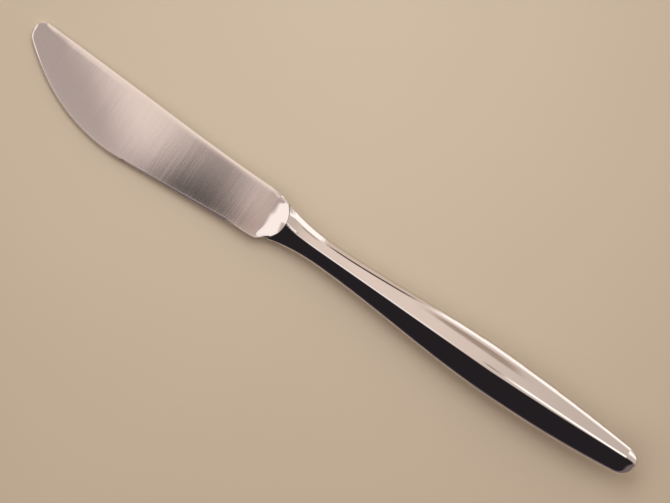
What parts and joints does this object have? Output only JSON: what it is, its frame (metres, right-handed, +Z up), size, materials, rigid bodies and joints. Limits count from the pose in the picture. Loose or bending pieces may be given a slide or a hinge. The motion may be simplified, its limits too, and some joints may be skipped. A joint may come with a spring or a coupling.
{
  "type": "table knife",
  "caption": "Table knife with a satin rounded-front blade, coved shoulder and polished hollow handle with a ridge; it spreads and cuts food at table.",
  "frame": {"origin": "bottom centre of the bounding box, at the level that the knife lies on", "axes": "+X along the handle from the blade to the butt, +Y to the side of the spine, +Z up, square to the plane that splits the handle"},
  "size_m": [0.215, 0.0207, 0.0086],
  "materials": {
    "blade_steel": "satin, grain across the blade",
    "handle_steel": "mirror polish",
    "solder": "dull",
    "cement": "rough"
  },
  "bodies": {
    "root": {"blade": "blade_steel", "upper_shell": "handle_steel", "lower_shell": "handle_steel", "seam_solder": "solder", "mouth_solder": "solder", "bedding_cement": "cement"}
  },
  "joints": []
}
